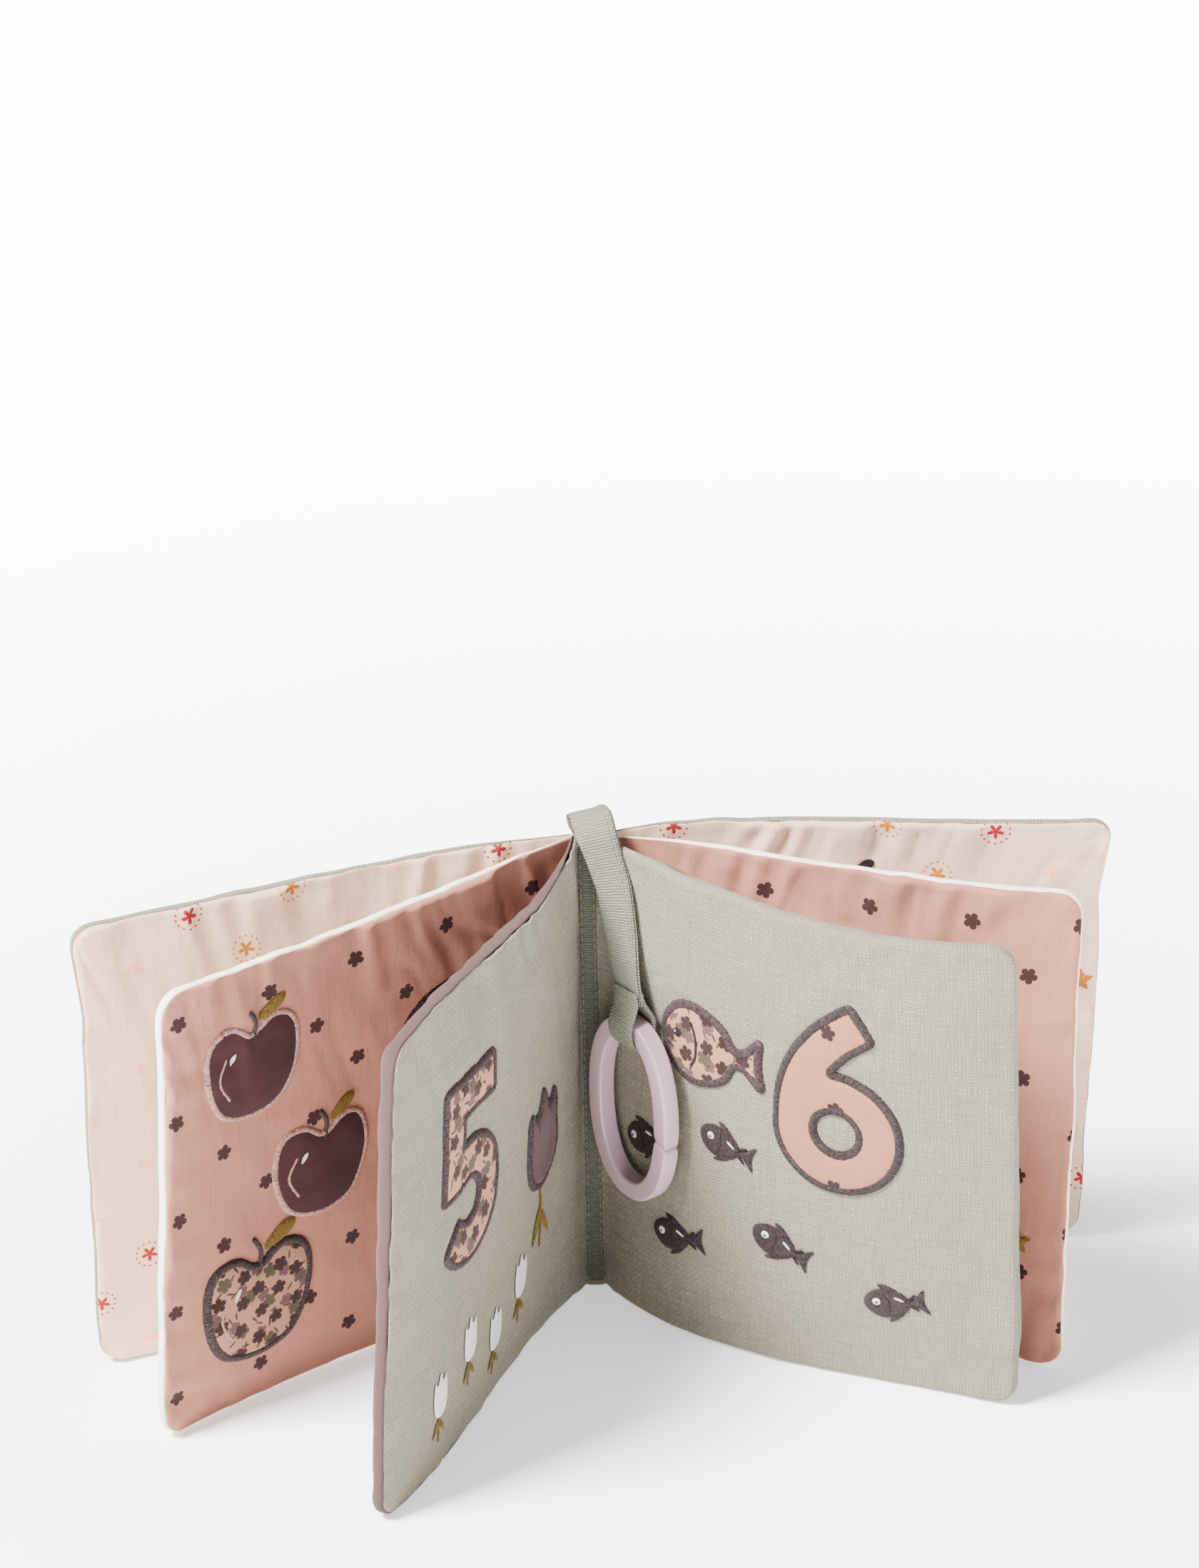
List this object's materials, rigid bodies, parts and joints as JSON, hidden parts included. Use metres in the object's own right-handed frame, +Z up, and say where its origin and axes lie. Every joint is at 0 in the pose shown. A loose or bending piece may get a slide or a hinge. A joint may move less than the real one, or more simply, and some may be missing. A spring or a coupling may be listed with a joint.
{
  "type": "soft book",
  "caption": "Padded cloth baby book with numbered pages, standing open, with a woven strap and an oval plastic hanging link.",
  "frame": {"origin": "foot of the spine, in the middle of its stitched bands", "axes": "+Z up along the spine, -Y out of the middle spread towards the reader, +X to the reader's right"},
  "size_m": [0.3397, 0.1842, 0.1828],
  "materials": {
    "linen": "matte woven",
    "cream_cotton": "matte woven",
    "off_white_cotton": "matte woven",
    "pink_cotton": "matte woven",
    "mauve_cotton": "matte woven",
    "plum_cotton": "matte woven",
    "floral_cotton": "matte woven",
    "ochre_cotton": "matte woven",
    "wadding": "matte woven",
    "strap_webbing": "matte woven",
    "link_plastic": "smooth satin gloss"
  },
  "bodies": {
    "spine": {"cover_gutter": "linen", "middle_gutter": "pink_cotton", "inner_gutter": "linen", "gutter_tape": "linen", "strap_end_tab": "strap_webbing"},
    "left_cover": {"left_cover_outer_cloth": "linen", "left_cover_padding": "wadding", "left_cover_inner_cloth": "cream_cotton", "number_1": "linen", "page_1_star": "ochre_cotton"},
    "left_middle": {"left_middle_outer_cloth": "off_white_cotton", "left_middle_padding": "wadding", "left_middle_inner_cloth": "pink_cotton", "number_2": "pink_cotton", "number_3": "linen", "page_2_leaf": "linen", "page_3_apple_top": "plum_cotton", "page_3_apple_middle": "plum_cotton", "page_3_apple_bottom": "floral_cotton"},
    "left_inner": {"left_inner_outer_cloth": "mauve_cotton", "left_inner_padding": "wadding", "left_inner_inner_cloth": "linen", "number_4": "cream_cotton", "number_5": "floral_cotton", "page_4_cloud": "off_white_cotton", "page_5_tulip": "mauve_cotton"},
    "right_inner": {"right_inner_outer_cloth": "mauve_cotton", "right_inner_padding": "wadding", "right_inner_inner_cloth": "linen", "number_6": "pink_cotton", "number_7": "linen", "page_6_fish": "floral_cotton", "page_7_pear": "ochre_cotton"},
    "right_middle": {"right_middle_outer_cloth": "off_white_cotton", "right_middle_padding": "wadding", "right_middle_inner_cloth": "pink_cotton", "number_8": "linen", "number_9": "plum_cotton", "page_8_boat": "plum_cotton", "page_9_kite": "mauve_cotton"},
    "right_cover": {"right_cover_outer_cloth": "linen", "right_cover_padding": "wadding", "right_cover_inner_cloth": "cream_cotton", "number_10_one": "mauve_cotton", "number_10_nought": "mauve_cotton", "page_10_mushroom": "plum_cotton"},
    "strap": {"hanging_strap": "strap_webbing", "strap_loop": "strap_webbing"},
    "link": {"link_ring": "link_plastic"}
  },
  "joints": [
    {"name": "left_inner_turn", "type": "hinge", "parent": "spine", "child": "left_inner", "pos_m": [-0.0049, 0.0018, 0], "axis": [0, 0, 1], "range_deg": [-100, 12]},
    {"name": "left_middle_turn", "type": "hinge", "parent": "left_inner", "child": "left_middle", "pos_m": [-0.0049, 0.0018, 0], "axis": [0, 0, -1], "range_deg": [-3, 50]},
    {"name": "left_cover_turn", "type": "hinge", "parent": "left_middle", "child": "left_cover", "pos_m": [-0.0049, 0.0018, 0], "axis": [0, 0, -1], "range_deg": [-2, 40]},
    {"name": "right_inner_turn", "type": "hinge", "parent": "spine", "child": "right_inner", "pos_m": [0.0049, 0.0018, 0], "axis": [0, 0, 1], "range_deg": [-1, 60]},
    {"name": "right_middle_turn", "type": "hinge", "parent": "right_inner", "child": "right_middle", "pos_m": [0.0049, 0.0018, 0], "axis": [0, 0, -1], "range_deg": [-35, 0]},
    {"name": "right_cover_turn", "type": "hinge", "parent": "right_middle", "child": "right_cover", "pos_m": [0.0049, 0.0018, 0], "axis": [0, 0, -1], "range_deg": [-28, 12]},
    {"name": "strap_lift", "type": "hinge", "parent": "spine", "child": "strap", "pos_m": [0.002, -0.00148, 0.1813], "axis": [-0.9705, 0, -0.2411], "range_deg": [0, 150]},
    {"name": "link_swing", "type": "hinge", "parent": "strap", "child": "link", "pos_m": [0.0139, -0.027, 0.1126], "axis": [0.6018, -0.7986, 0], "range_deg": [-10, 1.5]}
  ]
}
